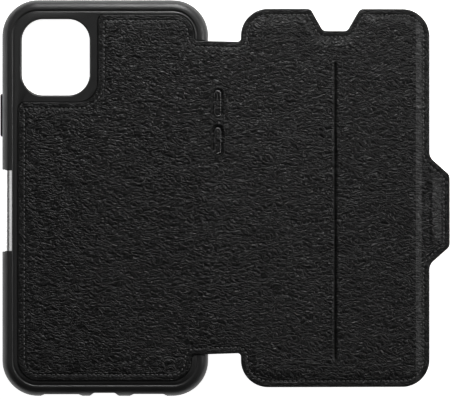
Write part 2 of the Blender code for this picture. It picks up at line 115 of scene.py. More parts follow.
class Outline:
    """A closed outline of lines and arcs, anticlockwise, through (x, y, radius) corners.

    Every ring of it has the same number of points, and each has one wherever a line crosses a mark in x.
    No arc of an inset ring is tighter than least.
    """

    def __init__(self, corners, step=0.8, marks=(), least=0.3):
        self.corners, self.marks, self.least = corners, marks, least
        self.parts = self.arcs(0.0)
        self.arc_steps, self.line_steps = [], []
        for arc, onward in self.pairs(self.parts):
            self.arc_steps.append(max(4, math.ceil(abs(arc.turn) * max(arc.radius, 1.2) / (0.7 * step))))
            stops = self.stops(arc.end, onward.start)
            run = (onward.start - arc.end).length
            self.line_steps.append([max(1, round((b - a) * run / step)) for a, b in zip(stops, stops[1:])])

    def pairs(self, parts):
        """Each arc with the next one, which a line joins to it."""
        return zip(parts, parts[1:] + parts[:1])

    def stops(self, a, b):
        """Shares of the line from a to b at which it starts, crosses a mark or ends."""
        found = [(m - a.x) / (b.x - a.x) for m in self.marks if min(a.x, b.x) < m < max(a.x, b.x)]
        return [0.0] + sorted(found) + [1.0]

    def arcs(self, inset):
        parts = []
        for i, (x, y, radius) in enumerate(self.corners):
            here = Vector((x, y))
            arrive = (here - Vector(self.corners[i - 1][:2])).normalized()
            leave = (Vector(self.corners[(i + 1) % len(self.corners)][:2]) - here).normalized()
            inward, onward = Vector((-arrive.y, arrive.x)), Vector((-leave.y, leave.x))
            corner = here + (inward + onward) * inset / (1 + inward.dot(onward))
            turn = math.atan2(arrive.cross(leave), arrive.dot(leave))
            side = math.copysign(1, turn)
            arc = max(radius - side * inset, self.least if inset > 0 else 0.0)
            start = corner - arrive * arc * math.tan(abs(turn) / 2)
            end = corner + leave * arc * math.tan(abs(turn) / 2)
            parts.append(Arc(start, end, start + inward * arc * side, arc, side, turn))
        return parts

    def ring(self, inset=0.0):
        points = []
        pairs = self.pairs(self.arcs(inset))
        for (arc, onward), arc_steps, line_steps in zip(pairs, self.arc_steps, self.line_steps):
            for k in range(arc_steps + 1):
                turned = Matrix.Rotation(arc.turn * k / arc_steps, 2) @ (arc.start - arc.centre)
                points.append(arc.centre + turned)
            stops = self.stops(arc.end, onward.start)
            for a, b, steps in zip(stops, stops[1:], line_steps):
                for k in range(1, steps + 1):
                    share = a + (b - a) * k / steps
                    if share < 1 - 1e-9:
                        points.append(arc.end.lerp(onward.start, share))
        return np.array([tuple(p) for p in points])

    def level(self, inset, z):
        """A ring at one height."""
        ring = self.ring(inset)
        return np.column_stack([ring, np.full(len(ring), z)])

    def inner(self, points):
        """How far inside the outline each point lies. It is negative outside."""
        best, sign = np.full(len(points), np.inf), np.ones(len(points))
        for arc, onward in self.pairs(self.parts):
            away = points - np.array(arc.centre)
            reach = np.hypot(away[:, 0], away[:, 1])
            first = math.atan2(arc.start.y - arc.centre.y, arc.start.x - arc.centre.x)
            swept = (np.arctan2(away[:, 1], away[:, 0]) - first) * np.sign(arc.turn) % (2 * math.pi)
            gap = np.where(swept <= abs(arc.turn), np.abs(reach - arc.radius), np.inf)
            closer = gap < best
            best = np.where(closer, gap, best)
            sign = np.where(closer, np.where((reach < arc.radius) == (arc.side > 0), 1.0, -1.0), sign)
            a = np.array(arc.end)
            run = np.array(onward.start) - a
            length = max(np.hypot(*run), 1e-9)
            along = np.clip(((points - a) @ run) / length**2, 0, 1)
            off = points - a - along[:, None] * run
            gap = np.hypot(off[:, 0], off[:, 1])
            closer = gap < best
            best = np.where(closer, gap, best)
            left = run[0] * (points[:, 1] - a[1]) - run[1] * (points[:, 0] - a[0])
            sign = np.where(closer, np.where(left >= 0, 1.0, -1.0), sign)
        return best * sign


def rectangle(x0, x1, y0, y1, radius):
    return [(x0, y0, radius), (x1, y0, radius), (x1, y1, radius), (x0, y1, radius)]


def smooth(t):
    """0 to 1 in an S curve."""
    t = np.clip(t, 0, 1)
    return t * t * (3 - 2 * t)


def bump(t):
    """1 at 0, falling smoothly to 0 at -1 and 1."""
    return smooth(1 - np.abs(t))


def ramp(t):
    """A straight slope from 0 to 1, a little rounded at both ends."""
    r = 0.1
    t = np.asarray(t, float)
    lower = np.where(t < r, np.maximum(t + r, 0.0) ** 2 / (4 * r), t)
    return np.where(lower > 1 - r, 1 - np.maximum(1 + r - lower, 0.0) ** 2 / (4 * r), lower)


def spaced(*stops):
    """Values from the first stop to the last, by the step between each two: spaced(a, step, b, step, c)."""
    values = [stops[0]]
    for a, step, b in zip(stops[0::2], stops[1::2], stops[2::2]):
        count = max(1, round((b - a) / step))
        values += [a + (b - a) * k / count for k in range(1, count + 1)]
    return np.array(values)


# Meshes -----------------------------------------------------------------------


def make_object(name, points, faces, look, flat):
    """A mesh from points in millimetres. flat holds each point's place on the flat case, for its look."""
    mesh = bpy.data.meshes.new(name)
    mesh.from_pydata((np.asarray(points) * MM).tolist(), [], faces)
    mesh.update()
    store = mesh.attributes.new("flat", "FLOAT_VECTOR", "POINT")
    store.data.foreach_set("vector", np.asarray(flat, np.float32).ravel())
    mesh.shade_smooth()
    mesh.materials.append(look)
    obj = bpy.data.objects.new(name, mesh)
    bpy.context.scene.collection.objects.link(obj)
    return obj


def drooped(points):
    """Turns the part of the flat case beyond the shell's fold about the fold's axis."""
    points = np.array(points, float)
    x0, z0 = SHELL_FOLD
    angle = DROOP * smooth((points[:, 0] - x0 - DROOP_START) / DROOP_WIDTH)
    u, w = points[:, 0] - x0, points[:, 2] - z0
    turned = points.copy()
    turned[:, 0] = x0 + u * np.cos(angle) + w * np.sin(angle)
    turned[:, 2] = z0 - u * np.sin(angle) + w * np.cos(angle)
    return turned


class Sheet:
    """Points and faces of one skin: rings along its borders, a grid inside, and a net between them."""

    CLEARANCE = 0.3  # the grid's points stay this far from a border

    def __init__(self):
        self.points, self.faces = [], []

    def add(self, points):
        first = len(self.points)
        self.points += [tuple(p) for p in points]
        return np.arange(first, first + len(points))

    def bridge(self, low, high):
        for i in range(len(low)):
            j = (i + 1) % len(low)
            self.faces.append((low[i], low[j], high[j], high[i]))

    def rings(self, levels):
        loops = [self.add(level) for level in levels]
        for low, high in zip(loops, loops[1:]):
            self.bridge(low, high)
        return loops

    def fill(self, borders, keep, columns, rows, height, marks):
        """Fills between the border loops. keep gives each point's distance from the nearest border."""
        gx, gy = np.meshgrid(columns, rows, indexing="ij")
        spots = np.stack([gx.ravel(), gy.ravel()], axis=1)
        clear = (keep(spots) > self.CLEARANCE).reshape(gx.shape)
        cell = clear[:-1, :-1] & clear[1:, :-1] & clear[:-1, 1:] & clear[1:, 1:]
        used = np.zeros_like(clear)
        for di, dj in ((0, 0), (1, 0), (0, 1), (1, 1)):
            used[di:di + cell.shape[0], dj:dj + cell.shape[1]] |= cell
        number = np.full(gx.shape, -1)
        chosen = spots[used.ravel()]
        number[used] = self.add(np.column_stack([chosen, height(chosen)]))
        for i, j in zip(*np.nonzero(cell)):
            self.faces.append((number[i, j], number[i + 1, j], number[i + 1, j + 1], number[i, j + 1]))

        edges = []
        pad = np.pad(cell, 1)
        for i, j in zip(*np.nonzero(cell)):
            if not pad[i, j + 1]:
                edges.append((number[i, j], number[i, j + 1]))
            if not pad[i + 2, j + 1]:
                edges.append((number[i + 1, j], number[i + 1, j + 1]))
            if not pad[i + 1, j]:
                edges.append((number[i, j], number[i + 1, j]))
            if not pad[i + 1, j + 2]:
                edges.append((number[i, j + 1], number[i + 1, j + 1]))
        for loop in borders:
            edges += [(loop[i - 1], loop[i]) for i in range(len(loop))]
        flat = np.array(self.points)[:, :2]
        for mark in marks:
            column = int(np.argmin(np.abs(columns - mark)))
            line = [n for n in number[column] if n >= 0]
            for loop in borders:
                for n in loop:
                    if abs(flat[n, 0] - mark) < 1e-6:
                        near = min(line, key=lambda m: abs(flat[m, 1] - flat[n, 1]))
                        edges.append((n, near))
        names = sorted({n for edge in edges for n in edge})
        local = {n: i for i, n in enumerate(names)}
        found = delaunay_2d_cdt(
            [Vector(flat[n]) for n in names], [(local[a], local[b]) for a, b in edges], [], 0, 1e-7
        )
        spots, _, triangles, origins = found[:4]
        places = [names[o[0]] if o else -1 for o in origins]
        middles = np.array([sum((spots[v] for v in t), Vector((0, 0))) / 3 for t in triangles])
        near = keep(middles)
        ci = np.clip(np.searchsorted(columns, middles[:, 0]) - 1, 0, cell.shape[0] - 1)
        cj = np.clip(np.searchsorted(rows, middles[:, 1]) - 1, 0, cell.shape[1] - 1)
        for t, distance, inside_cell in zip(triangles, near, cell[ci, cj]):
            corners = [places[v] for v in t]
            if distance > 0 and not inside_cell and min(corners) >= 0:
                self.faces.append(tuple(corners))

    def split(self):
        """The faces as groups between the cuts in x."""
        points = np.array(self.points)
        middle = np.array([points[list(f), 0].mean() for f in self.faces])
        groups = np.searchsorted(np.array(CUTS), middle)
        return [[f for f, g in zip(self.faces, groups) if g == k] for k in range(len(CUTS) + 1)]


def corner_normals(points, faces):
    """Each point's normal, weighted by area, over the whole sheet."""
    points = np.array(points)
    normals = np.zeros_like(points)
    for size in (3, 4):
        chosen = np.array([f for f in faces if len(f) == size])
        if not len(chosen):
            continue
        across = np.cross(points[chosen[:, 2]] - points[chosen[:, 0]],
                          points[chosen[:, -1]] - points[chosen[:, 1]])
        for k in range(size):
            np.add.at(normals, chosen[:, k], across)
    return normals / np.maximum(np.linalg.norm(normals, axis=1), 1e-12)[:, None]


def sheet_objects(sheet, names, look, outline=None):
    """The sheet as one object for each piece between the cuts, shaded as one surface.

    With an outline, the third number of each point's place is its distance to the edge, up to 4 mm.
    """
    flat = np.array(sheet.points)
    world = drooped(flat)
    if outline:
        flat[:, 2] = np.minimum(outline.inner(flat[:, :2]), 4.0)
    normals = corner_normals(world, sheet.faces)
    made = []
    for name, faces in zip(names, sheet.split()):
        used = sorted({n for f in faces for n in f})
        local = {n: i for i, n in enumerate(used)}
        obj = make_object(name, world[used], [tuple(local[n] for n in f) for f in faces], look, flat[used])
        obj.data.normals_split_custom_set_from_vertices(normals[used].tolist())
        made.append(obj)
    return made


# Materials --------------------------------------------------------------------


class Look:
    """A node material with a Principled shader."""

    def __init__(self, name, **sockets):
        self.material = bpy.data.materials.new(name)
        self.material.use_nodes = True
        self.tree = self.material.node_tree
        self.shader = self.tree.nodes["Principled BSDF"]
        for socket, value in sockets.items():
            self.set(self.shader.inputs[socket.replace("_", " ")], value)

    def set(self, socket, value):
        if isinstance(value, bpy.types.NodeSocket):
            self.tree.links.new(value, socket)
        else:
            socket.default_value = value

    def node(self, kind, *inputs, out=0, **settings):
        node = self.tree.nodes.new("ShaderNode" + kind)
        for key, value in settings.items():
            setattr(node, key, value)
        for socket, value in enumerate(inputs):
            if value is not None:
                self.set(node.inputs[socket], value)
        return node.outputs[out]

    def math(self, operation, a, b=0.0, clamp=False):
        return self.node("Math", a, b, operation=operation, use_clamp=clamp)

    def place(self):
        """Place on the flat case, in millimetres."""
        return self.node("Attribute", attribute_name="flat", out=1)

    def scaled(self, vector, scale):
        return self.node("VectorMath", vector, scale, operation="MULTIPLY")

    def shifted(self, vector, offset):
        return self.node("VectorMath", vector, offset, operation="ADD")

    def body_place(self, scale=1000.0):
        """Place on the object, times scale. It is in millimetres at 1000."""
        return self.scaled(self.node("TexCoord", out=3), (scale,) * 3)

    def noise(self, vector, scale=1.0, detail=3.0, roughness=0.5):
        return self.node("TexNoise", vector, None, scale, detail, roughness)

    def span(self, value, low, high, to_low=0.0, to_high=1.0):
        node = self.tree.nodes.new("ShaderNodeMapRange")
        node.interpolation_type = "SMOOTHSTEP"
        for key, number in (("From Min", low), ("From Max", high), ("To Min", to_low), ("To Max", to_high)):
            node.inputs[key].default_value = number
        self.set(node.inputs["Value"], value)
        return node.outputs["Result"]

    def band(self, value, low, high, before, after):
        """1 from low to high, with a soft slope outside each."""
        above = self.span(value, low - before, low)
        return self.math("MULTIPLY", above, self.span(value, high + after, high))

    def blend(self, share, a, b):
        node = self.tree.nodes.new("ShaderNodeMix")
        node.data_type = "RGBA"
        for socket, value in ((0, share), (6, a), (7, b)):
            self.set(node.inputs[socket], value)
        return node.outputs[2]

    def relief(self, height, depth):
        """Bumps the shader by height times depth, in millimetres."""
        node = self.tree.nodes.new("ShaderNodeBump")
        node.inputs["Strength"].default_value = 1.0
        node.inputs["Distance"].default_value = depth * MM
        self.set(node.inputs["Height"], height)
        self.set(self.shader.inputs["Normal"], node.outputs["Normal"])

    def slot(self, socket, value):
        self.set(self.shader.inputs[socket], value)


def grey(level, tint=(1.0, 1.0, 1.0)):
    return tuple(level * t for t in tint) + (1.0,)


def leather_grain(look, flat):
    """Height of the grain, and its painted shade and sheen from 0 in the cracks to 1: the colour is painted
    darker in the cracks and pores, where shade falls, and lighter on the ridges as a painted sheen.

    Pillows lie between two sets of slanting furrows that cross, and are wider than they are tall.
    """
    warp = look.node("TexNoise", flat, None, 0.2, 2.0, 0.5, out=1)
    warp = look.scaled(look.shifted(warp, (-0.5, -0.5, -0.5)), (1.6, 4.2, 0.0))
    place = look.shifted(flat, warp)
    ripple = look.node("TexNoise", place, None, 0.8, 1.0, out=1)
    place = look.shifted(place, look.scaled(ripple, (1.2, 0.7, 0.0)))
    hills = look.noise(look.scaled(place, (0.5, 1.4, 0.8)), 1.0, 1.5, 0.45)
    small = look.noise(look.scaled(place, (1.3, 3.1, 2.0)), 1.0, 1.0, 0.5)
    furrows = []
    for degrees, size in ((24.0, (0.13, 0.52, 0.0)), (-27.0, (0.15, 0.47, 0.0))):
        turned = look.node("VectorRotate", place, None, None, math.radians(degrees), rotation_type="Z_AXIS")
        waves = look.noise(look.scaled(turned, size), 1.0, 1.0)
        furrows.append(look.math("ABSOLUTE", look.math("SUBTRACT", waves, 0.5)))
    furrow = look.math("MINIMUM", *furrows)
    ridge = look.span(hills, 0.38, 0.55)
    pores = look.span(small, 0.34, 0.5)
    height = look.math("ADD", look.math("MULTIPLY", ridge, 0.42), look.math("MULTIPLY", hills, 0.5))
    height = look.math("ADD", height, look.math("MULTIPLY", look.span(furrow, 0.0, 0.07), 0.62))
    height = look.math("ADD", height, look.math("MULTIPLY", pores, 0.14))
    # painted shade: the colour is darker in the furrows and pores, and lighter on the ridges as a painted
    # sheen
    crack_shade = look.span(furrow, 0.0, 0.03, 0.15, 1.0)
    grain_shade_and_sheen = look.math("MULTIPLY", look.span(ridge, 0.0, 1.0, 0.3, 1.0), crack_shade)
    return height, look.math("MULTIPLY", grain_shade_and_sheen, look.span(pores, 0.0, 1.0, 0.6, 1.0))


def leather_look(name, dark, light):
    """Grained leather, whose grain is flatter where the skin is drawn over an edge or pressed down. Its
    colour is painted lighter on the slope along the cover's free edge and on the magnet's bulge, a painted
    highlight, and painted darker in the grain's cracks, a painted shade.
    """
    look = Look(name, Specular_IOR_Level=0.36)
    flat = look.place()
    height, grain_shade_and_sheen = leather_grain(look, flat)
    x, y, edge = (look.node("SeparateXYZ", flat, out=axis) for axis in (0, 1, 2))
    mx0, mx1, my0, my1 = MAGNET
    tab = look.band(x, mx0 + 0.25, mx1, 0.7, 0.6)
    tab = look.math("MULTIPLY", tab, look.band(y, my0 + 0.6, my1 - 0.6, 1.2, 1.2))
    # the slope by the cover's free edge and the magnet's bulge: the grain is flatter here, and the colour is
    # painted lighter as a highlight
    drawn = look.math("MAXIMUM", look.band(x, *BEVEL, 0.3, 0.9), tab)
    crease_x, low, high = CREASE
    crease = look.span(look.math("ABSOLUTE", look.math("SUBTRACT", x, crease_x)), 1.3, 0.3)
    crease = look.math("MULTIPLY", crease, look.band(y, low + 0.4, high - 0.4, 1.2, 1.2))
    height = look.math("MULTIPLY", height, look.span(drawn, 0.0, 1.0, 1.0, 0.55))
    height = look.math("MULTIPLY", height, look.span(edge, SEAM - 0.3, SEAM + 0.9, 0.4, 1.0))
    height = look.math("MULTIPLY", height, look.span(crease, 0.0, 1.0, 1.0, 0.3))
    look.relief(height, 0.36)
    # painted highlight: the colour on that slope and on the bulge is lighter, as where the light falls on
    # them
    painted_highlight = look.math("MULTIPLY", drawn, look.span(grain_shade_and_sheen, 0.0, 1.0, 0.25, 0.75))
    look.slot("Base Color", look.blend(painted_highlight, look.blend(grain_shade_and_sheen, grey(dark), grey(light)), grey(4.6 * light)))
    look.slot("Roughness", look.span(grain_shade_and_sheen, 0.0, 1.0, 0.42, 0.38))
    return look.material


def plastic_look(name, level, roughness, grain=0.03):
    look = Look(name)
    place = look.body_place()
    fine = look.noise(place, 4.0, 3.0, 0.6)
    broad = look.noise(place, 0.12, 2.0)
    look.relief(fine, grain)
    look.slot("Base Color", look.blend(broad, grey(level * 0.85), grey(level * 1.15)))
    look.slot("Roughness", look.span(broad, 0.3, 0.7, roughness - 0.04, roughness + 0.05))
    return look.material


def steel_look(name):
    look = Look(name, Metallic=1.0)
    brushed = look.noise(look.scaled(look.body_place(900.0), (9.0, 0.7, 9.0)))
    look.relief(brushed, 0.002)
    look.slot("Base Color", look.blend(brushed, grey(0.9), grey(0.97)))
    look.slot("Roughness", look.span(brushed, 0.2, 0.8, 0.25, 0.33))
    return look.material


def cloth_look(name, level, tint=(1.0, 1.0, 1.0), scale=5.0, on_flat=False):
    """Napped cloth, foam or board. on_flat is for meshes that hold their place on the flat case."""
    look = Look(name, Sheen_Weight=0.35, Sheen_Roughness=0.5)
    place = look.place() if on_flat else look.body_place()
    fibres = look.noise(look.scaled(place, (1.0, 1.7, 1.0)), scale, 4.0, 0.65)
    patches = look.noise(place, 0.09, 3.0)
    look.relief(fibres, 0.05)
    share = look.math("MULTIPLY", look.math("ADD", fibres, patches), 0.5)
    look.slot("Base Color", look.blend(share, grey(level * 0.7, tint), grey(level * 1.3, tint)))
    look.slot("Roughness", look.span(fibres, 0.2, 0.8, 0.8, 0.95))
    return look.material


def thread_look():
    look = Look("thread", Sheen_Weight=0.2, Sheen_Roughness=0.4)
    place = look.scaled(look.place(), (2.4, 2.4, 2.4))
    twist = look.node("TexWave", place, 1.0, 0.4, 1.0, out=1, bands_direction="DIAGONAL")
    look.relief(twist, 0.03)
    look.slot("Base Color", look.blend(twist, grey(0.025), grey(0.08)))
    look.slot("Roughness", look.span(twist, 0.0, 1.0, 0.5, 0.38))
    return look.material


# The leather skin -------------------------------------------------------------


def wrinkles(xy, seed, count, size, tall):
    """A sum of waves, mostly across the case, from -1 to 1 or so."""
    rng = np.random.default_rng(seed)
    total = np.zeros(len(xy))
    for _ in range(count):
        length = rng.uniform(*size)
        angle = math.radians(90 + rng.normal(0, 22))
        k = 2 * math.pi / length
        across = math.cos(angle) / tall * xy[:, 0] + math.sin(angle) * xy[:, 1]
        total += np.sin(k * across + rng.uniform(0, 2 * math.pi))
    return total / math.sqrt(count)


def strained(xy):
    height = np.zeros(len(xy))
    for x, y, slope, reach, rise in STRAINS:
        along = np.abs(xy[:, 0] - x)
        off = xy[:, 1] - y - slope * along
        height += rise * bump(off / 0.95) * bump(along / reach) * smooth(along / 1.5 + 0.4)
    return height


def skin_height(full, padded):
    """The outer face's height on the flat case. full and padded are outlines with and without the tab."""

    def height(xy, edge=None):
        edge = full.inner(xy) if edge is None else edge
        x, y = xy[:, 0], xy[:, 1]
        on_cover = smooth((x - 3.5) / 5.0)
        on_tab = smooth((x - 80.6) / 1.2)
        rise = 0.3 + 0.4 * on_cover
        z = TOP - 0.1 - 0.3 * on_cover + rise * ramp((padded.inner(xy) - RISE_START) / RISE_WIDTH)
        z = z - 0.24 * bump((edge - SEAM) / 0.68)
        x0, y0, y1 = CREASE
        ends = smooth((y - y0 + 0.8) / 1.2) * smooth((y1 + 0.8 - y) / 1.2)
        off = x - x0
        z = z - 0.85 * np.where(off < 0, smooth(1 + off / 0.42), smooth(1 - off / 1.2)) * ends
        mx0, mx1, my0, my1 = MAGNET
        across = np.minimum(smooth((x - mx0 + 1.6) / 1.6), ramp((mx1 + 0.6 - x) / (mx1 + 0.6 - mx0)))
        z = z + 0.55 * across * smooth((y - my0 + 0.9) / 1.8) * smooth((my1 + 0.9 - y) / 1.8)
        for fold, depth in ((LATCH_FOLD[0] + 0.6, 0.1), (SPINE_FOLD[0], 0.04)):
            z = z - depth * bump((x - fold) / 1.6)
        free = smooth((edge - 0.3) / 3.2)
        z = z + 0.035 * wrinkles(xy, 3, 46, (1.5, 3.4), 2.2) * (0.35 + 0.65 * free)
        z = z + 0.05 * wrinkles(xy, 8, 30, (6.0, 16.0), 1.6) * free * (1 - 0.7 * on_tab)
        return z + strained(xy) * free

    return height


FACE_INSET = 3.9  # the skin's last ring, inside which its grid lies

# Rings from the skin down into the groove round a volume key: distance from the key, and drop
PAD_RINGS = ((1.7, 0.0), (1.4, 0.0), (1.2, -0.03), (1.08, -0.14), (1.02, -0.4), (0.98, -0.8), (0.7, -1.05),
             (0.06, -1.05))


def pad_outline(x, y):
    half_w, half_l = PAD_HALF
    return rectangle(x - half_w, x + half_w, y - half_l, y + half_l, half_w - 0.02)


def grown(corners, by):
    """A rectangle's corners, moved outwards."""
    xs, ys = [c[0] for c in corners], [c[1] for c in corners]
    return rectangle(min(xs) - by, max(xs) + by, min(ys) - by, max(ys) + by, corners[0][2] + by)


def edge_levels(outline, height, depth, turn=0.45):
    """Rings up the turned edge of a skin: underneath, up its side, and over to its outer face."""
    rim = outline.ring(turn)
    top = height(rim, np.full(len(rim), turn))
    levels = []
    for inset, lift in ((1.3, 0.0), (0.35, 0.0), (0.1, 0.1), (0.0, 0.32)):
        ring = outline.ring(inset)
        levels.append(np.column_stack([ring, top - depth(ring) + lift]))
    for degrees in (0, 22.5, 45, 67.5):
        a = math.radians(degrees)
        ring = outline.ring(turn * (1 - math.cos(a)))
        levels.append(np.column_stack([ring, top - turn * (1 - math.sin(a))]))
    levels.append(np.column_stack([rim, top]))
    channel = tuple(SEAM + 0.175 * k for k in range(-4, 5))
    for inset in (0.8, 1.2) + channel + (3.35, 3.6, FACE_INSET):
        ring = outline.ring(inset)
        levels.append(np.column_stack([ring, height(ring, np.full(len(ring), inset))]))
    return levels


def skin_columns():
    a, b, c = SHELL_FOLD[0], SPINE_FOLD[0], LATCH_FOLD[0]
    x = CREASE[0]
    return spaced(-86.0, 0.55, a - 2.65, 0.3, a + 1.2, 0.5, SPINE_SPLIT, 0.5, b - 1.7, 0.35, b + 1.6, 0.55,
                  x - 0.75, 0.15, x + 0.75, 0.55, c - 1.3, 0.3, c + 1.1, 0.5, 90.0)


def key_holes(sheet, borders, height, levels, step):
    """Adds a hole round each volume key, through levels of (distance from the key, lift), and its border."""
    holes = []
    for x, y, _ in PADS:
        reach = levels[0][0]
        hole = Outline(grown(pad_outline(x, y), reach), step)
        rings = []
        for grow, drop in levels:
            ring = hole.ring(reach - grow)
            rings.append(np.column_stack([ring, height(ring) + drop])[::-1])
        borders.append(sheet.rings(rings)[0])
        holes.append(hole)
    return holes


def within(outline, inset, holes):
    """A function of how far points lie inside the outline's inset and outside the holes."""

    def keep(xy):
        distance = outline.inner(xy) - inset
        for hole in holes:
            distance = np.minimum(distance, -hole.inner(xy))
        return distance

    return keep


def side_depth(xy):
    """How far the turned edge reaches down: little on the shell, and more round the spine and cover."""
    x = xy[:, 0]
    return 0.9 + 0.8 * smooth((x - SHELL_FOLD[0]) / 3.0) + 0.4 * smooth((x - SPINE_FOLD[0]) / 3.0)


def make_skin(look):
    """The one leather skin over the back, spine, cover and tab, in three pieces cut between the folds."""
    full = Outline(SKIN_CORNERS, 0.8, CUTS)
    padded = Outline([c for c in SKIN_CORNERS if c not in TAB_CORNERS], 2.0)
    height = skin_height(full, padded)
    sheet = Sheet()
    borders = [sheet.rings(edge_levels(full, height, side_depth))[-1]]
    holes = key_holes(sheet, borders, height, PAD_RINGS, 0.7)
    keep = within(full, FACE_INSET, holes)
    sheet.fill(borders, keep, skin_columns(), spaced(-76.0, 0.5, 76.0), height, CUTS)
    names = ("leather_back", "leather_front_left", "leather_front_right")
    return full, height, sheet_objects(sheet, names, look, full)


def flat_area(obj):
    """Area of a skin's outer face on the flat case, in square millimetres, and its width and length."""
    mesh = obj.data
    flat = np.empty(len(mesh.vertices) * 3, np.float32)
    mesh.attributes["flat"].data.foreach_get("vector", flat)
    flat = flat.reshape(-1, 3)[:, :2]
    up = down = 0.0
    for face in mesh.polygons:
        x, y = flat[list(face.vertices)].T
        area = 0.5 * float(np.sum(x * np.roll(y, -1) - np.roll(x, -1) * y))
        up, down = up + max(area, 0.0), down + max(-area, 0.0)
    return max(up, down), float(np.ptp(flat[:, 0])), float(np.ptp(flat[:, 1]))


def cut_as_sheet(obj, rests_on, turned):
    """Works out the area, width and length of a skin's or lining's cut, with a turned edge on three sides;
    they are not kept.
    """
    area, width, length = flat_area(obj)
    edge = turned * (width + 2 * length)
    width, length = width + turned, length + 2 * turned
    area = min(area + edge, width * length)


def fold_place(fold):
    """A fold's axis and the direction across it, with the case open."""
    if fold is SHELL_FOLD:
        return fold, (1.0, 0.0)
    u, w = fold[0] - SHELL_FOLD[0], fold[1] - SHELL_FOLD[1]
    cos, sin = math.cos(DROOP), math.sin(DROOP)
    return (SHELL_FOLD[0] + u * cos + w * sin, SHELL_FOLD[1] - u * sin + w * cos), (cos, -sin)


FOLDS = (
    (SHELL_FOLD, (2.65, 1.2), "shell", "spine"),
    (SPINE_FOLD, (1.7, 1.6), "spine", "cover"),
    (LATCH_FOLD, (1.3, 1.1), "cover", "latch"),
)


def bend(objects):
    """Bakes the placing of each of the three pieces of a sheet into its mesh; the folds' places are worked
    out but not used.
    """
    for obj, (fold, (before, after), a, b) in zip(objects, FOLDS):
        (x, z), (along, down) = fold_place(fold)
        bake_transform(obj)


# Stitches, keys and linings ---------------------------------------------------


# Sections of one stitch: place along it, size and height. Its ends dive into the leather
STITCH = ((-1.0, 0.3, -0.26), (-0.82, 0.78, -0.1), (-0.4, 1.0, 0.05), (0.0, 1.0, 0.09), (0.4, 1.0, 0.05),
          (0.82, 0.78, -0.1), (1.0, 0.3, -0.26))
STITCH_HALF, STITCH_RADIUS, STITCH_FLATNESS, STITCH_SIDES = 0.66, 0.25, 0.8, 8


def stitch_points(path, under=False):
    """Points and faces of a row of stitches along a closed path, on its upper side or under it."""
    path = np.vstack([path, path[:1]])
    run = np.concatenate([[0], np.cumsum(np.linalg.norm(np.diff(path, axis=0), axis=1))])
    count = round(run[-1] / PITCH)
    points, faces = [], []
    sides = STITCH_SIDES
    flip = -1 if under else 1
    for k in range(count):
        middle = (k + 0.5) * run[-1] / count
        first = len(points)
        for t, size, rise in STITCH:
            spot = middle + t * STITCH_HALF
            here = np.array([np.interp(spot, run, path[:, i]) for i in range(3)])
            ahead = np.array([np.interp(spot + 0.05, run, path[:, i]) for i in range(3)])
            along = (ahead - here) / np.linalg.norm(ahead - here)
            across = np.array([-along[1], along[0], 0.0])
            radius = STITCH_RADIUS * size
            for j in range(sides):
                a = 2 * math.pi * j / sides
                up = flip * (rise + STITCH_FLATNESS * math.sin(a) * radius)
                points.append(here + across * math.cos(a) * radius + np.array([0, 0, up]))
        for r in range(len(STITCH) - 1):
            for j in range(sides):
                a, b = first + r * sides + j, first + r * sides + (j + 1) % sides
                faces.append((a, b, b + sides, a + sides)[::flip])
        last = first + (len(STITCH) - 1) * sides
        faces.append(tuple(range(first, first + sides))[::-flip])
        faces.append(tuple(range(last, last + sides))[::flip])
    return points, faces


def make_stitches(full, height, lining_full, lining_z, look):
    """The seam's threads on the skin and on the lining, in three pieces cut between the folds."""
    sheet = Sheet()
    for outline, surface, under in ((full, height, False), (lining_full, lining_z, True)):
        ring = outline.ring(SEAM)
        path = np.column_stack([ring, surface(ring, np.full(len(ring), SEAM)) + STITCH_LIFT])
        points, faces = stitch_points(path, under)
        first = len(sheet.points)
        sheet.points += [tuple(p) for p in points]
        sheet.faces += [tuple(first + n for n in f) for f in faces]
    made = sheet_objects(sheet, ("thread_back", "thread_front_left", "thread_front_right"), look)
    bend(made)
    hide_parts("back_seam_thread")
    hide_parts("spine_upper_seam_thread", "spine_lower_seam_thread")
    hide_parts("cover_upper_seam_thread", "cover_lower_seam_thread", "latch_seam_thread")


def make_key_pad(x, y, body, look):
    """A volume key: a leather-faced pad on a nub that reaches down through the lining."""
    outline = Outline(pad_outline(x, y), 0.5)
    foot = [(0.45, 0.0), (0.2, 0.1), (0.06, 0.35), (0.0, 0.7)]
    edge = [(0.0, -0.9), (0.0, -0.5), (0.0, -0.14), (0.04, -0.07), (0.11, -0.03), (0.4, 0.0), (0.8, 0.01)]
    levels = [(inset, PAD_FOOT + lift) for inset, lift in foot]
    levels += [(inset, PAD_FACE + lift) for inset, lift in edge]
    sheet = Sheet()
    loops = sheet.rings([outline.level(inset, z) for inset, z in levels])
    sheet.faces.append(tuple(loops[-1]))
    sheet.faces.append(tuple(loops[0][::-1]))
    flat = np.array(sheet.points)
    obj = make_object(body + "_key", drooped(flat), sheet.faces, look, flat)
    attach(obj, body)
    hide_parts(body + "_pad")


LINING_INSET, LINING_FACE = 0.4, 3.3  # its edge, and its last ring, from the skin's edge
LINING_LEFT = SHELL_FOLD[0] - 2.4
BOARD_DEPTH, FOLD_DEPTH = 9.25, 10.72  # the lining's height under the cover's board, and at the folds


def lining_corners():
    right = [c for c in SKIN_CORNERS if c[0] > 5]
    return right + [(LINING_LEFT, 62.1, 0.5), (LINING_LEFT, -61.9, 0.5)]


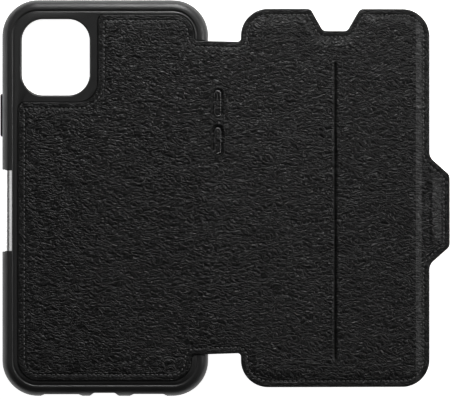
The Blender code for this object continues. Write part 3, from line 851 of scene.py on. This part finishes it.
def lining_height(outline):
    """Height of the lining's inner face: deep under the boards, and thin where the case folds."""

    def height(xy, edge=None):
        edge = outline.inner(xy) if edge is None else edge
        x, y = xy[:, 0], xy[:, 1]
        z = np.full(len(xy), BOARD_DEPTH)
        z = z + 0.35 * smooth((SPINE_FOLD[0] - x) / 1.0)
        for fold, (before, after), _, _ in FOLDS:
            off = np.where(x < fold[0], (fold[0] - x) / (before + 1.3), (x - fold[0]) / (after + 1.3))
            z = z + (FOLD_DEPTH - z) * smooth((1 - off) * 2.0)
        z = z + (FOLD_DEPTH - z) * smooth((SHELL_FOLD[0] - x) / 0.5)
        x0, y0, y1 = CREASE
        ends = smooth((y - y0 + 0.3) / 0.6) * smooth((y1 + 0.3 - y) / 0.6)
        z = z + 0.65 * smooth((0.62 - np.abs(x - x0)) / 0.28) * ends
        z = z + 0.14 * bump((edge - SEAM) / 0.6)
        return z + 0.02 * wrinkles(xy, 21, 24, (5.0, 14.0), 1.2)

    return height


def make_lining(look):
    """The napped lining inside the spine, cover and tab, with the card slot's ledge along the crease."""
    outline = Outline(lining_corners(), 1.1, CUTS)
    height = lining_height(outline)
    sheet = Sheet()
    first = outline.ring(LINING_INSET + 0.25)
    low = height(first, np.full(len(first), LINING_INSET + 0.25))
    levels = [np.column_stack([outline.ring(LINING_INSET), np.maximum(low + 0.3, 10.95)])]
    levels.append(np.column_stack([outline.ring(LINING_INSET), low + 0.25]))
    levels.append(np.column_stack([outline.ring(LINING_INSET + 0.07), low + 0.08]))
    levels.append(np.column_stack([first, low]))
    for inset in (1.1, SEAM - 0.6, SEAM - 0.3, SEAM, SEAM + 0.3, SEAM + 0.6, LINING_FACE):
        ring = outline.ring(inset)
        levels.append(np.column_stack([ring, height(ring, np.full(len(ring), inset))]))
    borders = [sheet.rings(levels)[-1]]
    holes = key_holes(sheet, borders, height, ((1.0, 0.0), (0.55, 0.0), (0.4, 0.1), (0.36, 0.7)), 0.9)
    a, b, c, x = SHELL_FOLD[0], SPINE_FOLD[0], LATCH_FOLD[0], CREASE[0]
    columns = spaced(a - 2.65, 0.4, a + 2.6, 0.9, SPINE_SPLIT, 0.9, b - 3.0, 0.4, b + 3.0, 1.3,
                     x - 0.9, 0.15, x + 0.9, 1.3, c - 2.6, 0.4, c + 2.4, 0.9, 90.0)
    rows = spaced(-76.0, 1.2, 76.0)
    sheet.fill(borders, within(outline, LINING_FACE, holes), columns, rows, height, CUTS)
    sheet.faces = [f[::-1] for f in sheet.faces]
    made = sheet_objects(sheet, ("lining_spine", "lining_front_left", "lining_front_right"), look)
    return outline, height, made


# The shell and what is on it --------------------------------------------------


# The shell's profile as (inset, z): its lip and side, the quarter ellipse of its back rim, and the groove
LIP = ((1.1, 0.0), (0.8, 0.06), (0.5, 0.2), (0.25, 0.5), (0.08, 1.0), (0.0, 1.7), (0.0, 4.5), (0.0, 7.3))
RIM_WIDTH, RIM_HEIGHT = 3.8, 4.3
GROOVE = ((3.95, 11.56), (4.1, 11.42), (4.25, 11.33), (4.45, 11.3), (4.65, 11.33), (4.8, 11.42),
          (4.95, 11.5))


def side_levels():
    """The shell's outer profile as far as the top of its rim."""
    levels = list(LIP)
    for degrees in range(6, 91, 6):
        a = math.radians(degrees)
        levels.append((RIM_WIDTH * (1 - math.cos(a)), LIP[-1][1] + RIM_HEIGHT * math.sin(a)))
    return levels


def lofted(name, rings, axis="Z"):
    """A closed solid through rings of (u, v, h) points, first ring first, where h runs along the axis."""
    order = {"X": (2, 0, 1), "Y": (1, 2, 0), "Z": (0, 1, 2)}[axis]
    points = np.vstack(rings)[:, order]
    size = len(rings[0])
    faces = [tuple(reversed(range(size))), tuple(range((len(rings) - 1) * size, len(rings) * size))]
    for r in range(len(rings) - 1):
        for i in range(size):
            j = (i + 1) % size
            faces.append((r * size + i, r * size + j, (r + 1) * size + j, (r + 1) * size + i))
    mesh = bpy.data.meshes.new(name)
    mesh.from_pydata((points * MM).tolist(), [], faces)
    obj = bpy.data.objects.new(name, mesh)
    bpy.context.scene.collection.objects.link(obj)
    return obj


def slab(name, corners, levels, axis="Z", step=0.8):
    """A solid through an outline's rings at levels of (inset, height)."""
    outline = Outline(corners, step, least=0.02)
    return lofted(name, [outline.level(inset, h) for inset, h in levels], axis)


def prism(name, corners, span, axis="Z", step=0.8):
    return slab(name, corners, [(0, span[0]), (0, span[1])], axis, step)


def carved(obj, cutters, look, bevel=0.14):
    """obj without its cutters, with its edges softened."""
    for cutter in cutters:
        change = obj.modifiers.new(cutter.name, "BOOLEAN")
        change.operation, change.solver, change.object = "DIFFERENCE", "EXACT", cutter
    soft = obj.modifiers.new("soft", "BEVEL")
    soft.width, soft.segments = bevel * MM, 2
    soft.limit_method, soft.angle_limit = "ANGLE", math.radians(38)
    soft.use_clamp_overlap = True
    mesh = bpy.data.meshes.new_from_object(obj.evaluated_get(bpy.context.evaluated_depsgraph_get()))
    obj.modifiers.clear()
    obj.data = mesh
    for cutter in cutters:
        bpy.data.objects.remove(cutter)
    mesh.materials.clear()
    mesh.materials.append(look)
    mesh.shade_smooth()
    mesh.set_sharp_from_angle(angle=math.radians(30))
    return obj


def phone_corners():
    width, length, radius, gap = PHONE
    half_w, half_l, middle = width / 2 + gap, length / 2 + gap, (SHELL[0] + SHELL[1]) / 2
    return rectangle(middle - half_w, middle + half_w, -half_l, half_l, radius)


def recess_cutter():
    """The step that the back's leather lies in, a little wider than it and open towards the spine."""
    back = [c for c in SKIN_CORNERS if c[0] < 5]
    ring = Outline([(-4.0, 62.2, 0)] + back + [(-4.0, -62.0, 0)], 0.8).ring()
    along = np.roll(ring, -1, 0) - np.roll(ring, 1, 0)
    along /= np.maximum(np.hypot(along[:, 0], along[:, 1]), 1e-9)[:, None]
    ring = ring + RECESS_GAP * np.column_stack([along[:, 1], -along[:, 0]])
    return lofted("recess", [np.column_stack([ring, np.full(len(ring), z)]) for z in (RECESS_Z, 13.0)])


def port_cutters(foot):
    """The dips in the foot's edge, each with a port through the wall under it."""
    cutters = []
    for a, b, depth in PORTS:
        dip = [(a - DIP_SLOPE, foot - 1, 0), (b + DIP_SLOPE, foot - 1, 0), (b + DIP_SLOPE, foot, 0.8)]
        dip += [(b, foot + depth, 0.8), (a, foot + depth, 0.8), (a - DIP_SLOPE, foot, 0.8)]
        cutters.append(prism("dip", dip, (-1, 13), step=0.5))
        port = rectangle(2.5, 7.7, a + 0.4, b - 0.4, 1.6)
        cutters.append(prism("port", port, (foot - 2, foot + WALL + 1), "Y", 0.4))
    return cutters


def button_cutters(left):
    """The side button's slot, and the wider pocket that its flange moves in."""
    y, z, length, tall = BUTTON
    half_l, half_h = length / 2 + 0.3, tall / 2 + 0.3
    cutters = []
    for grow, reach in ((0.0, left - 1), (0.8, left + 0.9)):
        slot = rectangle(y - half_l - grow, y + half_l + grow, z - half_h - grow, z + half_h + grow, 1.9)
        cutters.append(prism("button_slot", slot, (reach, left + WALL + 0.5), "X", 0.4))
    return cutters


def shell_cutters():
    """Everything that is cut out of the shell."""
    left, right, foot, _, _ = SHELL
    phone = [(1.2, -1), (1.2, 0.35), (0.8, 0.55), (0, 0.85), (0, PHONE_TOP)]
    cutters = [slab("phone", phone_corners(), phone), recess_cutter()]
    lens = [(0, 8.0), (0, 10.8), (-0.12, 11.1), (-0.35, 11.35), (-0.62, 11.52), (-0.62, 13.0)]
    cutters.append(slab("camera_window", rectangle(*CAMERA), lens))
    cutters += port_cutters(foot)
    for a, b in SIDE_WINDOWS:
        window = rectangle(a, b, 3.2, 8.2, 1.2)
        cutters.append(prism("side_window", window, (right - 4, right + 1), "X", 0.4))
    cutters += button_cutters(left)
    low, high, thick = PLATE
    cutters.append(prism("plate_bed", plate_band(2.5, thick + 0.25), (low - 0.3, high + 0.3), "Y"))
    return cutters


def plate_band(outside, inside):
    """Corners, in z and x, of a band that follows the shell's side, from outside it to inside."""
    path = [(0.05, SHELL[0] + 2.1)]
    path += [(max(z - 0.05, 0.05), SHELL[0] + inset + 0.05) for inset, z in side_levels()]
    path = np.array(path)
    ahead, behind = np.roll(path, -1, 0), np.roll(path, 1, 0)
    ahead[-1], behind[0] = path[-1], path[0]
    along = ahead - behind
    along /= np.hypot(along[:, 0], along[:, 1])[:, None]
    inward = np.column_stack([-along[:, 1], along[:, 0]])
    ring = np.vstack([path - outside * inward, (path + inside * inward)[::-1]])
    return [(z, x, 0) for z, x in ring]


def make_shell(look):
    body = slab("shell_body", rectangle(*SHELL), side_levels() + list(GROOVE))
    shell = carved(body, shell_cutters(), look)
    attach(shell, "shell")
    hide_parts("shell")


def make_button(look):
    y, z, length, tall = BUTTON
    face = rectangle(y - length / 2, y + length / 2, z - tall / 2, z + tall / 2, 1.6)
    crown = [(0.7, 0.0), (0.35, 0.06), (0.12, 0.22), (0, 0.5)]
    levels = [(inset, BUTTON_OUT + depth) for inset, depth in crown]
    levels += [(0, BUTTON_STEP), (-BUTTON_FLANGE, BUTTON_STEP), (-BUTTON_FLANGE, BUTTON_BACK)]
    button = carved(slab("button", face, levels, "X", 0.4), [], look, 0.05)
    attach(button, "side_button")
    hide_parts("side_button")


# Scene ------------------------------------------------------------------------


def make_camera():
    data = bpy.data.cameras.new("camera")
    data.lens, data.sensor_width, data.clip_end = 600.0, 36.0, 20.0
    cam = bpy.data.objects.new("camera", data)
    cam.location = (0.00004, -0.0008, 2.9765)
    bpy.context.scene.collection.objects.link(cam)
    bpy.context.scene.camera = cam


def area_light(name, place, size, power):
    data = bpy.data.lights.new(name, "AREA")
    data.shape, data.size, data.energy = "DISK", size, power
    lamp = bpy.data.objects.new(name, data)
    lamp.location = place
    lamp.rotation_euler = (-Vector(place)).to_track_quat("-Z", "Y").to_euler()
    lamp.visible_camera = False
    bpy.context.scene.collection.objects.link(lamp)
    return lamp


def make_stage():
    look = Look("floor", Roughness=0.9, Specular_IOR_Level=0.1, Emission_Strength=1.04)
    place = look.node("TexCoord", out=3)
    pale = look.blend(look.noise(place, 3.0, 2.0), grey(0.94), grey(0.97))
    look.slot("Base Color", pale)
    look.slot("Emission Color", pale)
    mesh = bpy.data.meshes.new("floor")
    side, z = 4.0, -0.0004
    corners = [(-side, -side, z), (side, -side, z), (side, side, z), (-side, side, z)]
    mesh.from_pydata(corners, [], [(0, 1, 2, 3)])
    mesh.materials.append(look.material)
    floor = bpy.data.objects.new("floor", mesh)
    bpy.context.scene.collection.objects.link(floor)
    lamps = [
        area_light("key", (0.02, 0.345, 0.19), 0.18, 1.27),
        area_light("side", (0.55, 0.14, 0.31), 0.22, 1.4),
        area_light("far_side", (-0.7, 0.1, 0.14), 0.25, 0.5),
        area_light("overhead", (-0.8, 0.15, 1.8), 0.8, 1.6),
    ]
    world = bpy.data.worlds.new("world")
    world.use_nodes = True
    world.node_tree.nodes["Background"].inputs[0].default_value = (1, 1, 1, 1)
    world.node_tree.nodes["Background"].inputs[1].default_value = 0.025
    bpy.context.scene.world = world
    bpy.context.scene.view_settings.view_transform = "Standard"


# The look of a CAD piece, by how its name ends. The shell has the first one
SLOTS = {
    "": "polymer", "thread": "thread", "leather": "leather", "pad": "leather", "board": "board",
    "stiffener": "board", "lining": "lining", "phone_bed_liner": "microfibre", "magnet": "magnet",
    "plate": "steel", "button": "button_rubber", "sheet": "padding",
}


def dress_cad(looks):
    """Gives every CAD piece the material of its slot."""
    for name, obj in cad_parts.items():
        ending = max((e for e in SLOTS if name.endswith(e)), key=len)
        obj.data.materials.clear()
        obj.data.materials.append(looks[SLOTS[ending]])


def main():
    make_camera()
    make_stage()
    looks = {
        "polymer": plastic_look("polymer", 0.016, 0.4),
        "button_rubber": plastic_look("button_rubber", 0.008, 0.55, 0.05),
        "leather": leather_look("leather", 0.0002, 0.01),
        "lining": cloth_look("lining", 0.03, on_flat=True),
        "microfibre": cloth_look("microfibre", 0.045),
        "padding": cloth_look("padding", 0.05, scale=2.0),
        "board": cloth_look("board", 0.2, (1.0, 0.85, 0.65), 3.0),
        "thread": thread_look(),
        "steel": steel_look("steel"),
        "magnet": steel_look("magnet"),
    }
    dress_cad(looks)

    full, height, skin = make_skin(looks["leather"])
    bend(skin)
    under = (("back_padding_sheet",), ("spine_stiffener", "cover_board"), ("cover_board", "latch_magnet"))
    hides = (("back_leather", "shell_fold_leather"), ("spine_leather", "spine_fold_leather"),
             ("cover_leather", "latch_fold_leather", "latch_leather"))
    for obj, rests, nodes in zip(skin, under, hides):
        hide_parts(*nodes)
        cut_as_sheet(obj, list(rests), 3.0)
    inner, inner_height, lining = make_lining(looks["lining"])
    bend(lining)
    hides = (("spine_lining", "shell_fold_lining"), ("spine_fold_lining",),
             ("cover_lining", "latch_fold_lining", "latch_lining"))
    for obj, nodes in zip(lining, hides):
        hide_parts(*nodes)
        cut_as_sheet(obj, [], 1.0)
    make_stitches(full, height, inner, inner_height, looks["thread"])
    for x, y, body in PADS:
        make_key_pad(x, y, body, looks["leather"])
    make_shell(looks["polymer"])
    make_button(looks["button_rubber"])


main()
